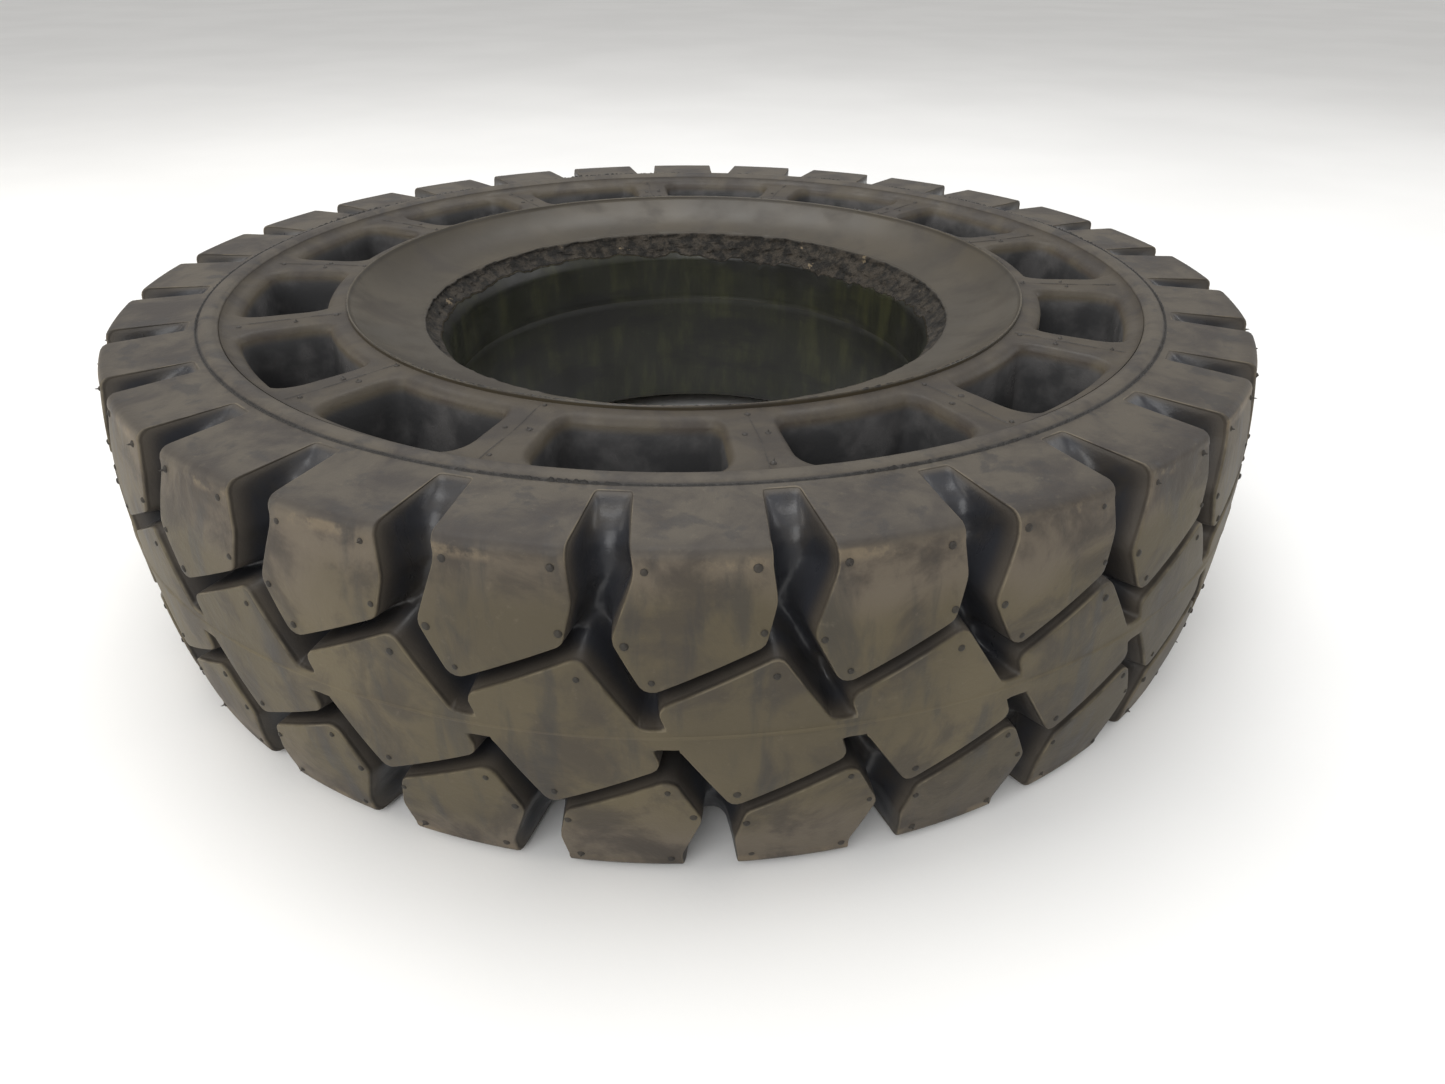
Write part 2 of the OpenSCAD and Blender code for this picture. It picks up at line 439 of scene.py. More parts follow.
def shoulder_lug(step):
    corners = [(-30, 131), (-26.2, 88), (-24.3, 74), (-33.8, 47), (-21.6, 22.2), (24.0, 43.9),
               (28.4, 62), (26.6, 76), (26.4, 88), (30, 131)]
    return rounded_loop(corners, [1, 60, 16, 7, 6, 5, 14, 20, 60, 1], step)


def middle_block(step):
    side = [(39, -15.4), (31, 4.5), (8.8, 38.9)]
    corners = side + [(-x, -y) for x, y in side]
    return rounded_loop(corners, [5, 30, 4.5] * 2, step) + [BLOCK_SHIFT, 0]


def tread_relief(step):
    relief = Relief(PITCH)
    lug = shoulder_lug(step)
    relief.add_loop(lug)
    relief.add_loop([2 * BLOCK_SHIFT, 0] - lug)
    relief.add_loop(middle_block(step))
    relief.bands = [(-LINK_HALF, LINK_HALF), (GROOVE_END_S, 400), (-400, -GROOVE_END_S)]
    # Rows along the band, from its lip out to the seam.
    for side in (-1, 1):
        for back in (0, 1, 2.7, 5, 7, 8.5, 9.4, 10):
            relief.put_row(side * (CREST_S - back), 2.6, -ANY, 0, 0.3)
    relief.put_rings(EDGE_LEVELS, step, 0.2)
    # Rows along the shoulder fold.
    for side in (-1, 1):
        for s in (73, 75.5, 77, 78.6, 80.2, 81.8, 83.4, 85, 86.6, 88.5, 92):
            relief.put_row(side * s, 3.2, -ANY, -1.8, 0.9)
    relief.put_grid(-GROOVE_END_S, GROOVE_END_S, 4.6, -ANY, -1.8, 2.2)
    relief.put_grid(-GROOVE_END_S, GROOVE_END_S, 2.8, 2.5, ANY, 1.5)
    return relief


def add_vent_lumps(shape):
    """Small round lumps the mould's vents leave near the corners of each lug and block."""
    rng = np.random.default_rng(SEED + 1)
    on_lug = [(-19.5, 28.5), (-29.4, 45), (23.4, 49.5), (-20.5, 75), (20.5, 75)]
    spots = [(x, z, abs(z) > 70) for x, z in on_lug]
    spots += [(2 * BLOCK_SHIFT - x, -z, abs(z) > 70) for x, z in on_lug]
    spots += [(BLOCK_SHIFT + x, z, False) for x, z in ((7.2, 30), (-6.4, -31))]
    for k in range(LUGS):
        for x, z, at_edge in spots:
            angle = x / TREAD_R + 2 * math.pi * k / LUGS + rng.uniform(-0.002, 0.002)
            foot = on_circle(angle, crown_r(z) - 0.05, z + rng.uniform(-0.8, 0.8))[0]
            lean = rng.uniform(-0.15, 0.15)
            up = [math.sin(angle + lean), -math.cos(angle + lean), 0.12 * np.sign(z) * at_edge]
            tip = rng.uniform(0.5, 2.2) if at_edge and rng.random() < 0.5 else 0.0
            shape.add(*bump_shell(foot, up, rng.uniform(1.2, 1.8), rng.uniform(0.6, 1.0), tip),
                      across=abs(z), flash=1.0, tint=0.5)


def add_tread_flash(shape):
    """Torn flash along the ring outside the crest, and the mould's parting line round the middle."""
    count = 3000
    turn = np.arange(count) * 2 * math.pi / count
    for side in (-1, 1):
        height = ragged(count, 800, 0.3, 2.0 if side > 0 else 1.3, side * 3.0)
        path = on_circle(turn, BAND_R + 0.5, side * (LUG_Z + 0.1))
        shape.add(*fin(path, [0, 0, side], height, 0.45, True), across=RING_S, flash=1.0, tint=0.5)
    path = on_circle(turn, TREAD_R, 0.35 * np.sin(turn * 9) + 1.6)
    height = ragged(count, 60, 0.3, 1.0, 7.0)
    shape.add(*fin(path, on_circle(turn, 1.0, 0.0), height, 1.5, True), across=0.0, flash=-1.0, tint=0.5)


def make_tread():
    relief = tread_relief(2.3)
    points, faces = relief.triangles(LUGS)
    depth = np.interp(relief.blended(points, 3.4), *GROOVE_WALL.T)
    section, floor = tread_section()
    s = np.abs(points[:, 1])
    top = np.column_stack([np.interp(s, section[:, 0], section[:, k]) for k in (1, 2)])
    low = np.column_stack([np.interp(s, floor[:, 0], floor[:, k]) for k in (1, 2)])
    share = depth / GROOVE_DEPTH
    place = top + (low - top) * share[:, None]
    turn = points[:, 0] / TREAD_R + 2 * math.pi / LUGS * np.arange(LUGS)[:, None]
    height = place[:, 1] * np.sign(points[:, 1])
    shape = Shape("groove", "across", "flash", "tint")
    shape.add(on_circle(turn.ravel(), np.tile(place[:, 0], LUGS), np.tile(height, LUGS)), faces,
              groove=np.tile(share, LUGS), across=np.tile(s, LUGS), tint=relief.tints(points, LUGS).ravel())
    copies = len(points) * np.arange(LUGS)[:, None]
    upper = (relief.row_at(CREST_S) + copies).ravel()
    lower = (relief.row_at(-CREST_S) + copies).ravel()
    shape.close_along(upper, lower, [
        (CUSHION_R + 0.35, HALF_W - 2.3), (CUSHION_R, HALF_W - 3.2), (CUSHION_R, 0),
        (CUSHION_R, 3.2 - HALF_W), (CUSHION_R + 0.35, 2.3 - HALF_W)
    ], across=CREST_S, tint=0.5)
    add_vent_lumps(shape)
    add_tread_flash(shape)
    return shape.piece("tread", "tread_compound", "tread_rubber")


# ---------------------------------------------------------------- cushion
MOUTH_INNER_R, MOUTH_OUTER_R = BASE_R + 6, CUSHION_R - 3.5
MOUTH_HALF_ANGLE = math.radians(10.4)
MOUTH_EASE = 5.5
POCKET_DEPTH = 66.0
RIM_CLIMB = 3.2
# Widths round the tyre are stretched in the flat layout, so the ribs' edges are eased less.
POCKET_STRETCH = 1.57 * 245


def pocket_profile():
    """Rows of (distance inside the mouth's edge, depth): eased edge, drafted wall, rounded floor."""
    rows = [(-0.8, 0.0)]
    for k in range(7):
        a = math.pi / 2 * k / 6
        rows.append((MOUTH_EASE * math.sin(a), MOUTH_EASE * (1 - math.cos(a))))
    rows += [(MOUTH_EASE + 3 * k / 5, MOUTH_EASE + (POCKET_DEPTH - 8 - MOUTH_EASE) * k / 5)
             for k in range(1, 6)]
    for k in range(1, 5):
        a = math.pi / 2 * k / 4
        rows.append((MOUTH_EASE + 3 + 8 * (1 - math.cos(a)), POCKET_DEPTH - 8 + 8 * math.sin(a)))
    return np.array(rows)


def add_pocket_side(shape, relief, over):
    """One side of the cushion, with its ring of pockets. Returns its inner and outer edge rows."""
    points, faces = relief.triangles(APERTURES)
    depth = np.interp(-relief.nearest(points), *pocket_profile().T)
    turn = points[:, 0] / POCKET_STRETCH + RIB_ANGLE + 2 * math.pi / APERTURES * np.arange(APERTURES)[:, None]
    climb = RIM_CLIMB * np.clip((points[:, 1] - CUSHION_R + 5) / 5, 0, 1) ** 2
    placed = on_circle(turn.ravel(), np.tile(points[:, 1], APERTURES),
                       SIDE_Z + np.tile(climb - depth, APERTURES))
    first = shape.add(turned_over(placed) if over else placed, faces[:, ::-1],
                      depth=np.tile(depth, APERTURES))
    copies = first + len(points) * np.arange(APERTURES)[:, None]
    vertices = np.vstack(shape.vertices)
    return [in_turn(vertices, (relief.row_at(r) + copies).ravel()) for r in (BASE_R, CUSHION_R)]


def add_rib_details(shape):
    """A thin line of flash along each rib, and the vent lumps beside it."""
    rng = np.random.default_rng(SEED + 2)
    for over in (False, True):
        for k in range(APERTURES):
            angle = RIB_ANGLE + 2 * math.pi * k / APERTURES
            radius = np.linspace(BASE_R + 3, CUSHION_R - 3, 40)
            skew = rng.uniform(-0.006, 0.006)
            path = on_circle(angle + skew + 0.002 * np.sin(radius / 9 + k), radius, SIDE_Z)
            height = 0.15 + 0.35 * (np.sin(radius / 5.1 + 2 * k) > -0.6)
            spots = [(0.0, BASE_R + 4.8), (-1.2, 236), (1.2, 235), (0.35, 264)]
            parts = [fin(path, [0, 0, 1], height, 0.4, False)]
            for degrees, r in spots:
                if rng.random() < 0.9:
                    foot = on_circle(angle + math.radians(degrees + rng.uniform(-0.3, 0.3)),
                                     r + rng.uniform(-2, 2), SIDE_Z)[0]
                    tip = rng.uniform(0.6, 1.6) if rng.random() < 0.5 and not over else 0.0
                    parts.append(bump_shell(foot, [rng.uniform(-0.3, 0.3), rng.uniform(-0.3, 0.3), 1],
                                            rng.uniform(1.1, 1.7), rng.uniform(0.5, 0.9), tip))
            for vertices, faces in parts:
                shape.add(turned_over(vertices) if over else vertices, faces, flash=1.0)


def make_cushion():
    relief = Relief(POCKET_STRETCH * 2 * math.pi / APERTURES)
    half = POCKET_STRETCH * MOUTH_HALF_ANGLE
    middle = relief.period / 2
    corners = [(middle - half, MOUTH_OUTER_R), (middle - half, MOUTH_INNER_R),
               (middle + half, MOUTH_INNER_R), (middle + half, MOUTH_OUTER_R)]
    relief.add_loop(rounded_loop(corners, [19, 16, 16, 19], 3.0))
    for r in (BASE_R, BASE_R + 1.5, CUSHION_R - 2, CUSHION_R - 1, CUSHION_R - 0.35, CUSHION_R):
        relief.put_row(r, 3.0, -9, ANY, 0.2)
    relief.put_rings([-d for d, _ in pocket_profile()], 3.0, 0.25)
    relief.put_grid(BASE_R + 4, CUSHION_R - 2, 4.5, 1.0, ANY, 2.0)
    relief.put_grid(BASE_R + 4, CUSHION_R - 2, 4.0, -ANY, -21, 2.0)
    shape = Shape("depth", "flash")
    inner, outer = add_pocket_side(shape, relief, False)
    inner_low, outer_low = add_pocket_side(shape, relief, True)
    shape.close_along(outer, outer_low, [(CUSHION_R, SIDE_Z - 1), (CUSHION_R, 1 - SIDE_Z)])
    shape.close_along(inner_low, inner, [(BASE_R, 1 - SIDE_Z), (BASE_R, SIDE_Z - 1)])
    add_rib_details(shape)
    return shape.piece("cushion", "cushion_compound", "cushion_rubber")


# ---------------------------------------------------------------- heel
TOE_R, TOE_Z = BORE_R + 12.6, 63.5
BORE_TOP_Z = 47.5


def torn_width(turn):
    """How far the torn band reaches down the toe, round the tyre."""
    wide = math.exp(-((turn - 2.5) / 0.95) ** 2) + math.exp(-((turn - 2.5 + 2 * math.pi) / 0.95) ** 2)
    rough = noise.fractal(Vector((math.cos(turn) * 9, math.sin(turn) * 9, 4.0)), 0.7, 2.1, 5)
    return 8.5 + 8.5 * min(wide, 1.0) + (1.8 + 2.2 * wide) * rough


def plain(points, torn=0.0, bore=0.0):
    """Rows of the heel's section that all have the same values."""
    return [(r, z, torn, bore, 0) for r, z in points]


def dish_rows():
    """The flange seat: the raised ring at the heel's edge, and the dish inside it."""
    # The last number of each row is the edge value: above zero it paints a highlight on the crest, below zero
    # painted shade in the crease at the inner foot.
    ring = [(0, -2.5, -0.2), (0, -0.7, 0), (0.2, 0.1, 0.3), (0.6, 0.3, 0.7), (1.1, 0.1, 0.4),
            (1.5, -0.5, -0.6), (2.2, -1.6, -0.4), (3.4, -2.6, 0)]
    rows = [(BASE_R - inside, RING_Z + above, 0, 0, edge) for inside, above, edge in ring]
    return rows + plain([(200, 76.8), (197, 74.8), (194, 72.9), (191, 71.3), (188, 69.9), (185, 68.7),
                         (182, 67.6), (177, 66.2), (172, 65.1)])


def whole_toe(rows):
    """The toe of the lower side, which is not torn: from the dish over a lip and into the bore."""
    lip = [(BORE_R + out, z) for out, z in ((14, 66.2), (10, 67.6), (6, 69.0), (3, 69.5))]
    inside = [(BORE_R + out, z) for out, z in ((1.4, 69.0), (0.6, 67.8), (0.2, 66.0))]
    inside += [(BORE_R, 64 - 48.8 * k / (rows + 4)) for k in range(rows + 3)]
    inside += [(BORE_R, z) for z in (15.7, 15.25, 14.8, 10, 0)]
    return plain(lip) + plain(inside, bore=1.0)


def torn_band(turn, top, width, rows):
    """The rough band on the upper toe, from its top edge down."""
    band = []
    for k in range(rows + 1):
        t = k / rows
        z = top - width * t
        radius = np.interp(z, [BORE_TOP_Z, 54.5, TOE_Z], [BORE_R, BORE_R + 4.5, TOE_R])
        spot = Vector((math.cos(turn) * radius / 9, math.sin(turn) * radius / 9, z / 5 + 40))
        rough = noise.fractal(spot, 0.9, 2.1, 4) + 0.5 * abs(noise.noise(spot * 0.6))
        inset = min(1.0, 5 * t, 5 * (1 - t))
        band.append((radius + (1.6 + 1.7 * rough) * inset, z + 0.8 * rough * inset))
    return band


def upper_bore(z_low):
    """The clean rubber under the torn band, and the wall down to the moulding line and the middle."""
    clean = []
    for k, t in enumerate((0.03, 0.1, 0.3, 0.6, 0.85, 1.0)):
        z = z_low - 0.35 - (z_low - BORE_TOP_Z + 3.0) * t
        r = np.interp(z, [BORE_TOP_Z - 1, BORE_TOP_Z + 1, 54.5, TOE_Z],
                      [BORE_R, BORE_R + 0.9, BORE_R + 4.5, TOE_R])
        clean.append((r - 0.35 * (1 - t), z, 0.25 * (k == 0), 1.0, k == 0))
    wall = plain([(BORE_R, z) for z in (40, 30, 20, 15.7)], bore=1.0)
    line = [(BORE_R - 0.25, 15.25, 0, 1.0, 0.6)]
    return clean + wall + line + plain([(BORE_R, z) for z in (14.8, 10, 0)], bore=1.0)


def torn_toe(turn, rows):
    """The toe of the upper side: the end of the dish, the torn band and the bore under it."""
    wander = 0.7 * noise.fractal(Vector((math.cos(turn) * 14, math.sin(turn) * 14, 2.0)), 0.7, 2.1, 4)
    end = plain([(168, 64.3), (TOE_R + 1, TOE_Z + 0.5)])
    end += plain([(TOE_R + 0.2, TOE_Z + 0.1 + wander)], torn=0.3)
    band = torn_band(turn, TOE_Z - 0.4 + wander, torn_width(turn), rows)
    return end + plain(band, torn=1.0) + upper_bore(band[-1][1])


def make_heel():
    shape = Shape("torn", "bore", "edge")
    count, toe_rows = ((780, 24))
    turn = np.arange(count) * 2 * math.pi / count
    dish, low_toe = dish_rows(), whole_toe(toe_rows)
    lower = [(r, -z, *values) for r, z, *values in dish + low_toe]
    columns = [dish + torn_toe(angle, toe_rows) + lower[-2::-1] for angle in turn]
    grid = np.array(columns).transpose(1, 0, 2)
    rows = len(grid)
    placed = [on_circle(turn, row[:, 0], row[:, 1]) for row in grid]
    shape.add(np.vstack(placed), np.empty((0, 3), int),
              torn=grid[:, :, 2].ravel(), bore=grid[:, :, 3].ravel(), edge=grid[:, :, 4].ravel())
    index = np.arange(rows * count).reshape(rows, count)
    for a, b in zip(index, index[1:]):
        shape.bridge(a, b)
    shape.bridge(index[-1], index[0])
    for side in (-1, 1):
        height = ragged(2400, 420, -0.1, 1.2 if side > 0 else 0.9, side * 5.0)
        around = np.arange(2400) * 2 * math.pi / 2400
        path = on_circle(around, BASE_R - 0.4, side * (RING_Z + 0.1))
        shape.add(*fin(path, [0, 0, side], height, 0.35, True), edge=-1.0)
    return shape.piece("heel", "heel_compound", "base_rubber")


# ---------------------------------------------------------------- materials
def srgb(red, green, blue):
    """A linear colour from the display values of a finished tone."""
    return tuple((c / 255 / 12.92 if c <= 10 else ((c / 255 + 0.055) / 1.055) ** 2.4)
                 for c in (red, green, blue)) + (1.0,)


class Paint:
    """A short way to write one material's nodes."""

    def __init__(self, name):
        self.material = bpy.data.materials.new(name)
        self.material.use_nodes = True
        self.tree = self.material.node_tree
        self.shader = self.tree.nodes["Principled BSDF"]
        self.place = self.tree.nodes.new("ShaderNodeTexCoord").outputs["Object"]

    def node(self, kind, **values):
        node = self.tree.nodes.new(kind)
        for key, value in values.items():
            setattr(node, key, value)
        return node

    def put(self, socket, value):
        if isinstance(value, bpy.types.NodeSocket):
            self.tree.links.new(value, socket)
        else:
            socket.default_value = value

    def value(self, name):
        """A value kept on the mesh."""
        return self.node("ShaderNodeAttribute", attribute_name=name).outputs["Fac"]

    def noise(self, size_mm, detail=4.0, rough=0.55, stretch=(1, 1, 1), twist=0.0, shift=0.0):
        """Noise whose features are about size_mm across, longer along the axes stretched over 1."""
        mapping = self.node("ShaderNodeMapping")
        self.put(mapping.inputs["Vector"], self.place)
        mapping.inputs["Scale"].default_value = [1 / (size_mm * MM * s) for s in stretch]
        mapping.inputs["Location"].default_value = (shift, 1.7 * shift, -shift)
        node = self.node("ShaderNodeTexNoise")
        self.put(node.inputs["Vector"], mapping.outputs["Vector"])
        for key, value in (("Scale", 1.0), ("Detail", detail), ("Roughness", rough), ("Distortion", twist)):
            node.inputs[key].default_value = value
        return node.outputs["Fac"]

    def band(self, value, low, high, out_low=0.0, out_high=1.0):
        """A smooth step from out_low to out_high as value goes from low to high."""
        node = self.node("ShaderNodeMapRange", interpolation_type="SMOOTHSTEP")
        for socket, given in zip(node.inputs, (value, low, high, out_low, out_high)):
            self.put(socket, given)
        return node.outputs["Result"]

    def maths(self, operation, a, b):
        node = self.node("ShaderNodeMath", operation=operation)
        self.put(node.inputs[0], a)
        self.put(node.inputs[1], b)
        return node.outputs[0]

    def mix(self, factor, a, b):
        node = self.node("ShaderNodeMix", data_type="RGBA")
        sockets = [s for s in node.inputs if s.type == "RGBA"]
        self.put(node.inputs["Factor"], factor)
        self.put(sockets[0], a)
        self.put(sockets[1], b)
        return next(s for s in node.outputs if s.type == "RGBA")

    def bump(self, height, distance_mm, normal=None, strength=1.0):
        node = self.node("ShaderNodeBump")
        node.inputs["Strength"].default_value = strength
        node.inputs["Distance"].default_value = distance_mm * MM
        self.put(node.inputs["Height"], height)
        if normal is not None:
            self.put(node.inputs["Normal"], normal)
        return node.outputs["Normal"]

    def finish(self, colour, roughness, normal, specular=0.5):
        self.put(self.shader.inputs["Base Color"], colour)
        self.put(self.shader.inputs["Roughness"], roughness)
        self.put(self.shader.inputs["Normal"], normal)
        self.shader.inputs["Specular IOR Level"].default_value = specular
        return self.material


def lug_face(p, across, tint, broad, patchy, wiped):
    """A lug's outer face: dusty olive near the middle of the tread, browner towards the shoulder."""
    olive = p.mix(p.band(broad, 0.35, 0.65), srgb(77, 69, 51), srgb(88, 79, 59))
    brown = p.mix(p.band(patchy, 0.4, 0.64), srgb(93, 84, 71), srgb(73, 65, 56))
    high = p.maths("ADD", across, p.band(broad, 0.3, 0.7, -16, 16))
    face = p.mix(p.band(high, 40, 72), olive, brown)
    face = p.mix(p.band(tint, 0.5, 1.0, 0, 0.45), face, srgb(54, 49, 41))
    face = p.mix(p.band(patchy, 0.46, 0.64, 0, 0.7), face, srgb(55, 49, 42))
    return p.mix(p.band(wiped, 0.52, 0.68, 0, 0.6), face, srgb(42, 40, 38))


def lug_skin(p, across, face, patchy, wiped):
    """The face and the lug's side above the shoulder fold, with painted shade just above the fold, and pale
    patches along it that are partly scuffs and partly painted highlight.
    """
    side = p.mix(p.band(patchy, 0.38, 0.66), srgb(73, 67, 58), srgb(51, 46, 42))
    side = p.mix(p.band(wiped, 0.53, 0.65, 0, 0.7), side, srgb(44, 41, 39))
    skin = p.mix(p.band(across, 77, 84), face, side)
    # Painted shade on the lug's side just above the shoulder fold.
    shaded = p.maths("MULTIPLY", p.band(across, 81, 84), p.band(across, 94, 86))
    skin = p.mix(p.maths("MULTIPLY", shaded, 0.4), skin, srgb(46, 41, 37))
    # Pale tan patches along the shoulder fold: partly scuffs, partly a painted highlight on the fold's edge.
    scuff_and_highlight = p.maths("MULTIPLY", p.band(across, 74, 77.5), p.band(across, 81.5, 79.5))
    scuff_and_highlight = p.maths("MULTIPLY", scuff_and_highlight, p.band(p.noise(24, 6, 0.68, shift=2.9), 0.48, 0.6))
    skin = p.mix(p.maths("MULTIPLY", scuff_and_highlight, 0.45), skin, srgb(124, 110, 88))
    return p.mix(p.band(p.noise(5, 6, 0.7), 0.58, 0.8, 0, 0.4), skin, srgb(104, 96, 80))


def with_grooves(p, groove, skin, patchy):
    """The skin with pale edges, partly wear and partly painted highlight, and under them the groove walls and
    their dark floors, which carry painted shade and a painted bluish reflection.
    """
    # Pale thin edges on the lugs: partly wear, partly a painted highlight where the rounded edge catches the
    # light.
    wear_and_highlight = p.maths("MULTIPLY", p.band(groove, 0.001, 0.008), p.band(p.noise(20, 5, 0.6), 0.42, 0.6))
    skin = p.mix(p.maths("MULTIPLY", wear_and_highlight, 0.42), skin, srgb(122, 112, 92))
    wall = p.mix(p.band(patchy, 0.4, 0.7), srgb(68, 62, 54), srgb(56, 52, 48))
    # Groove floors: clean dark rubber, with painted shade deepening towards the floor and a bluish tint that
    # paints the gloss's reflection of the light overhead.
    floor_rubber_and_shade = p.mix(p.band(patchy, 0.4, 0.75), srgb(45, 46, 50), srgb(58, 54, 49))
    colour = p.mix(p.band(groove, 0.01, 0.06), skin, wall)
    return p.mix(p.band(groove, 0.06, 0.5), colour, floor_rubber_and_shade)


def with_seams(p, across, flash, colour):
    """The dark seam outside the band, dark vent lumps and flash, and the pale parting line."""
    seam = p.band(p.maths("ABSOLUTE", p.maths("SUBTRACT", across, RING_S), 0.0), 1.4, 0.5)
    colour = p.mix(p.maths("MULTIPLY", seam, 0.8), colour, srgb(36, 34, 33))
    colour = p.mix(p.band(flash, 0.0, 1.0, 0, 0.8), colour, srgb(28, 26, 24))
    return p.mix(p.band(flash, 0.0, -1.0, 0, 0.15), colour, srgb(112, 102, 84))


def tread_paint():
    """Dusty smeared lugs with painted highlights on their edges and shoulders, over clean dark grooves with a
    gloss, painted shade deep in them and a painted bluish reflection.
    """
    p = Paint("tread_rubber")
    groove, across, flash, tint = (p.value(k) for k in ("groove", "across", "flash", "tint"))
    broad = p.noise(95, 3, 0.5, shift=3.1)
    patchy = p.noise(34, 6, 0.62, twist=0.4, shift=1.3)
    wiped = p.noise(17, 5, 0.6, stretch=(1, 1, 5), twist=0.3, shift=8.2)
    face = lug_face(p, across, tint, broad, patchy, wiped)
    skin = lug_skin(p, across, face, patchy, wiped)
    colour = with_seams(p, across, flash, with_grooves(p, groove, skin, patchy))
    roughness = p.maths("ADD", p.band(groove, 0.05, 0.4, 0.58, 0.3), p.band(wiped, 0.5, 0.7, 0.04, -0.06))
    grain = p.bump(p.noise(1.3, 3, 0.6), 0.08)
    normal = p.bump(p.maths("MULTIPLY", patchy, p.band(groove, 0.02, 0.1, 1.0, 0.25)), 1.4, grain, 0.8)
    return p.finish(colour, roughness, normal, 0.38)


def cushion_paint():
    """Brown-grey ribs that darken over the eased edges into smooth dark pockets; the pockets' paler cool grey
    lining with pale clouds is partly a painted sheen and painted highlights.
    """
    p = Paint("cushion_rubber")
    depth, flash = p.value("depth"), p.value("flash")
    patchy = p.noise(30, 6, 0.6, twist=0.4, shift=5.0)
    cloud = p.noise(26, 4, 0.55, shift=2.2)
    fine = p.noise(4, 6, 0.7)
    rib = p.mix(p.band(patchy, 0.35, 0.66), srgb(61, 54, 43), srgb(43, 37, 31))
    rib = p.mix(p.band(fine, 0.6, 0.8, 0, 0.35), rib, srgb(92, 85, 73))
    # The pocket lining: smooth rubber whose tone is raised to a paler, cooler grey as a painted sheen, with
    # pale clouds as painted highlights.
    inside = p.mix(p.band(cloud, 0.42, 0.66), srgb(57, 57, 58), srgb(84, 83, 83))
    edge = p.mix(p.band(patchy, 0.4, 0.65), srgb(84, 77, 65), srgb(67, 60, 53))
    colour = p.mix(p.band(depth, 0.1, 5.0), rib, edge)
    colour = p.mix(p.band(depth, 3.6, 8.5), colour, inside)
    colour = p.mix(p.maths("MULTIPLY", flash, 0.7), colour, srgb(40, 37, 35))
    roughness = p.maths("ADD", p.band(depth, 1, 14, 0.56, 0.32), p.band(cloud, 0.4, 0.7, 0.06, -0.08))
    normal = p.bump(patchy, 1.0, p.bump(p.noise(1.2, 3, 0.6), 0.06), 0.7)
    return p.finish(colour, roughness, normal, 0.42)


def dish_tone(p, patchy, fine):
    """Warm dark brown with broad dull clouds."""
    broad = p.noise(80, 3, 0.5, shift=4.4)
    tone = p.mix(p.band(broad, 0.38, 0.62), srgb(49, 43, 32), srgb(60, 53, 40))
    tone = p.mix(p.band(patchy, 0.48, 0.7, 0, 0.6), tone, srgb(41, 35, 29))
    return p.mix(p.band(fine, 0.62, 0.8, 0, 0.3), tone, srgb(92, 85, 74))


def bore_tone(p, fine):
    """Dark olive with upright streaks and sooty clouds."""
    streak = p.noise(15, 5, 0.6, stretch=(1, 1, 4), shift=6.1)
    smoke = p.noise(60, 5, 0.6, stretch=(1.6, 1.6, 0.6), shift=3.7)
    tone = p.mix(p.band(streak, 0.42, 0.72, 0, 0.8), srgb(34, 35, 28), srgb(54, 55, 36))
    tone = p.mix(p.band(smoke, 0.44, 0.6, 0, 0.85), tone, srgb(26, 26, 25))
    return p.mix(p.band(fine, 0.6, 0.8, 0, 0.3), tone, srgb(78, 78, 64))


def torn_tone(p):
    """Crumbled dark rubber with a few pale chips."""
    tone = p.mix(p.band(p.noise(8, 7, 0.74), 0.4, 0.62), srgb(25, 23, 20), srgb(64, 58, 50))
    chips = p.band(p.noise(14, 4, 0.6, shift=9.3), 0.67, 0.7)
    return p.mix(p.maths("MULTIPLY", chips, 0.85), tone, srgb(126, 112, 90))


def heel_paint():
    """A smooth satin dish, a torn toe and a dark bore, with a painted highlight along the raised ring's top
    and painted shade in the crease at its inner foot.
    """
    p = Paint("base_rubber")
    torn, bore, edge = p.value("torn"), p.value("bore"), p.value("edge")
    patchy = p.noise(30, 5, 0.55, twist=0.2, shift=0.7)
    fine = p.noise(3.5, 6, 0.7)
    colour = p.mix(bore, dish_tone(p, patchy, fine), bore_tone(p, fine))
    colour = p.mix(torn, colour, torn_tone(p))
    # Paler on the raised ring's crest, a painted highlight; the pale edge of the clean rubber under the torn
    # band and the moulding line in the bore are the rubber's own colour.
    colour = p.mix(p.band(edge, 0.2, 1.0, 0, 0.45), colour, srgb(92, 83, 66))
    # Dark torn flash along the ring, and painted shade in the crease at the ring's inner foot.
    colour = p.mix(p.band(edge, -0.2, -1.0, 0, 0.85), colour, srgb(30, 28, 26))
    roughness = p.maths("ADD", p.band(torn, 0.2, 0.8, 0.4, 0.85), p.band(patchy, 0.4, 0.7, -0.05, 0.1))
    grain = p.bump(p.noise(1.1, 3, 0.6), 0.05)
    crumb = p.maths("MULTIPLY", p.noise(3.2, 6, 0.72), torn)
    return p.finish(colour, roughness, p.bump(crumb, 3.0, grain), 0.38)


def wire_paint():
    """Brass-coated steel, dulled in patches."""
    p = Paint("bead_wire")
    dull = p.noise(8, 5, 0.6)
    colour = p.mix(p.band(dull, 0.35, 0.7), srgb(168, 142, 98), srgb(112, 98, 78))
    p.shader.inputs["Metallic"].default_value = 1.0
    return p.finish(colour, p.band(dull, 0.3, 0.7, 0.35, 0.6), p.bump(p.noise(0.6, 2, 0.5), 0.02))


def floor_paint():
    """Plain pale paint with a trace of cloud."""
    p = Paint("floor")
    cloud = p.noise(400, 4, 0.5)
    colour = p.mix(p.band(cloud, 0.3, 0.7), srgb(232, 232, 231), srgb(237, 237, 236))
    return p.finish(colour, 0.55, p.bump(p.noise(3, 3, 0.5), 0.05), 0.3)


def give(piece, material):
    piece.data.materials.clear()
    piece.data.materials.append(material)


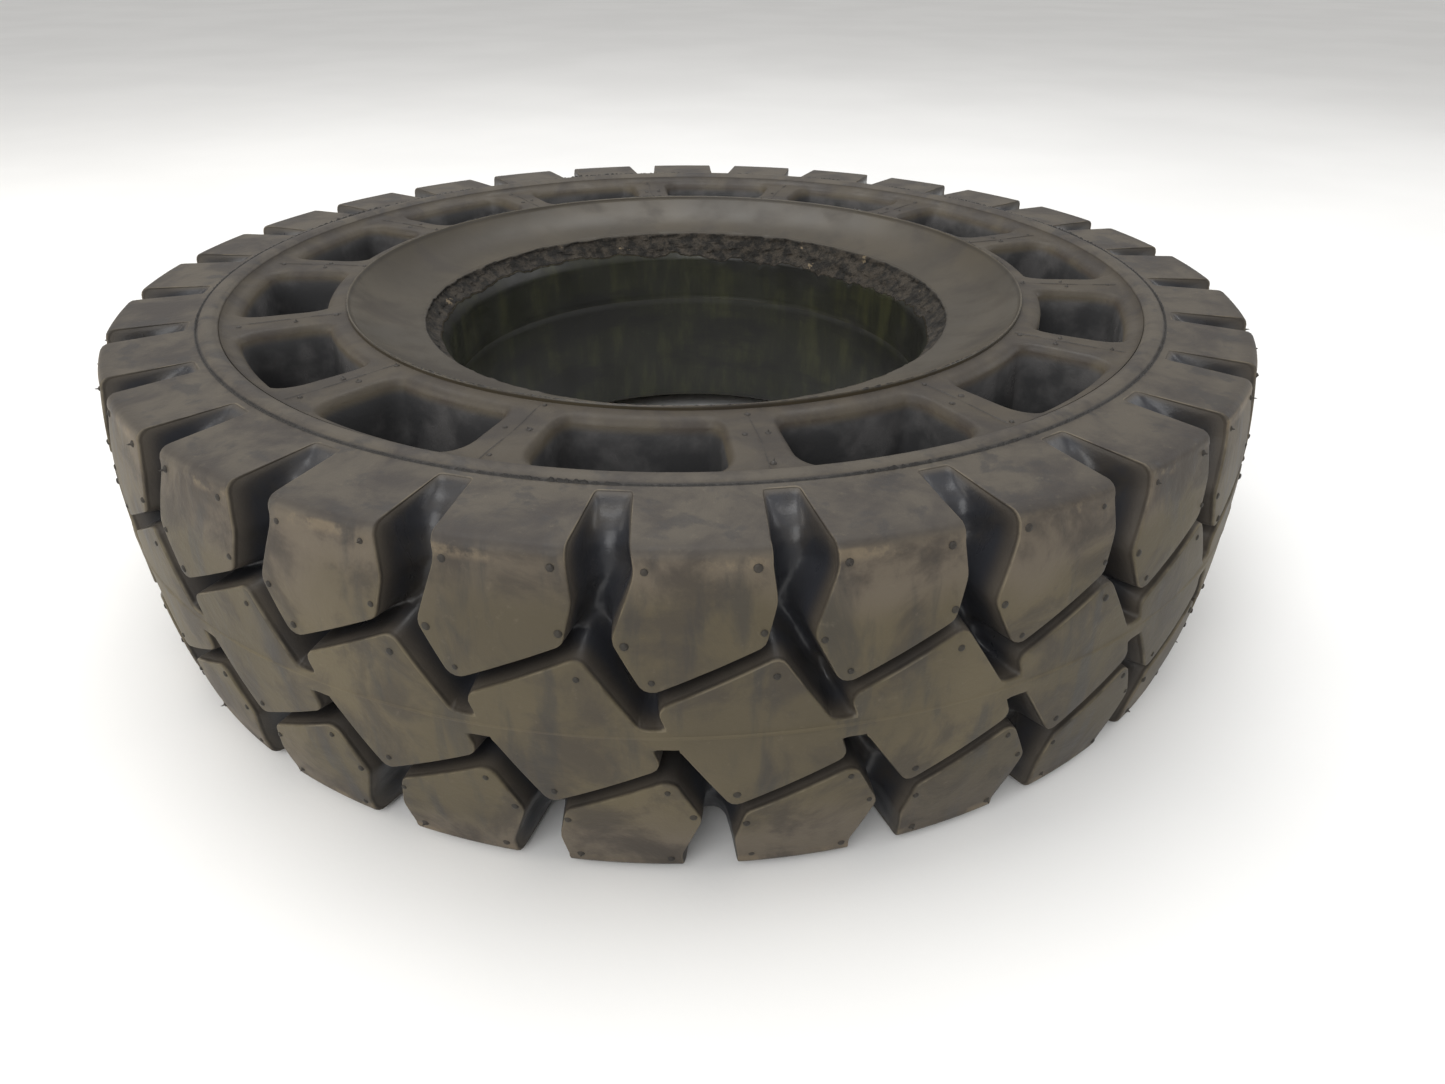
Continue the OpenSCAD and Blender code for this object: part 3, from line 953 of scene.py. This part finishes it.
# ---------------------------------------------------------------- staging
def add_camera():
    """A wide lens close over the front of the tyre, as fitted to the rings on its upper side."""
    lens, sensor = 24.195, 36
    behind, above = 0.6177, HALF_W * MM + 0.1820
    round_axis, pan, down, roll = math.radians(-0.57), -0.0381, 0.5633, 0.0063
    data = bpy.data.cameras.new("camera")
    data.lens = lens
    data.sensor_width = sensor
    camera = bpy.data.objects.new("camera", data)
    bpy.context.scene.collection.objects.link(camera)
    place = Matrix.Rotation(round_axis, 4, "Z") @ Matrix.Translation((0, -behind, above))
    aim = Matrix.Rotation(pan, 4, "Z") @ Matrix.Rotation(math.pi / 2 - down, 4, "X")
    camera.matrix_world = place @ aim @ Matrix.Rotation(roll, 4, "Z")
    bpy.context.scene.camera = camera


def add_floor():
    half = 14.0
    low = -HALF_W * MM - 0.0002
    corners = [(-half, -half, low), (half, -half, low), (half, half, low), (-half, half, low)]
    mesh = bpy.data.meshes.new("floor")
    mesh.from_pydata(corners, [], [(0, 1, 2, 3)])
    floor = bpy.data.objects.new("floor", mesh)
    bpy.context.scene.collection.objects.link(floor)
    give(floor, floor_paint())


def add_lamp(name, power, size, place, target, colour=(1.0, 1.0, 1.0)):
    data = bpy.data.lights.new(name, "AREA")
    data.energy = power
    data.color = colour
    data.size = size
    lamp = bpy.data.objects.new(name, data)
    bpy.context.scene.collection.objects.link(lamp)
    lamp.location = place
    lamp.rotation_euler = (Vector(target) - Vector(place)).to_track_quat("-Z", "Y").to_euler()


def add_world(low, high):
    """Soft light from all round, of one strength at the horizon and another overhead."""
    world = bpy.data.worlds.new("studio")
    bpy.context.scene.world = world
    world.use_nodes = True
    nodes, links = world.node_tree.nodes, world.node_tree.links
    direction = nodes.new("ShaderNodeSeparateXYZ")
    links.new(nodes.new("ShaderNodeTexCoord").outputs["Generated"], direction.inputs[0])
    strength = nodes.new("ShaderNodeMapRange")
    for socket, value in zip(strength.inputs[1:], (0.0, 1.0, low, high)):
        socket.default_value = value
    links.new(direction.outputs["Z"], strength.inputs[0])
    background = nodes["Background"]
    background.inputs["Color"].default_value = (1.0, 0.99, 0.975, 1.0)
    links.new(strength.outputs[0], background.inputs["Strength"])


def add_lights():
    add_world(0.5, 0.7)
    add_lamp("overhead", 28, 1.6, (-0.15, 0.5, 2.0), (0, 0, 0))
    add_lamp("front", 34, 1.8, (-0.9, -2.0, 1.6), (0, -0.1, 0))
    add_lamp("left", 12, 1.2, (-2.1, -0.2, 0.9), (0, 0, 0), (1.0, 0.93, 0.82))
    add_lamp("right", 9, 1.2, (2.1, 0.2, 1.2), (0, 0, 0))


add_camera()
tread, cushion, heel = make_tread(), make_cushion(), make_heel()
give(tread, tread_paint())
give(cushion, cushion_paint())
give(heel, heel_paint())
wire = wire_paint()
for name, node in frame["nodes"].items():
    if name.startswith("bead_hoop"):
        give(node, wire)
add_floor()
add_lights()
bpy.context.scene.view_settings.view_transform = "Standard"
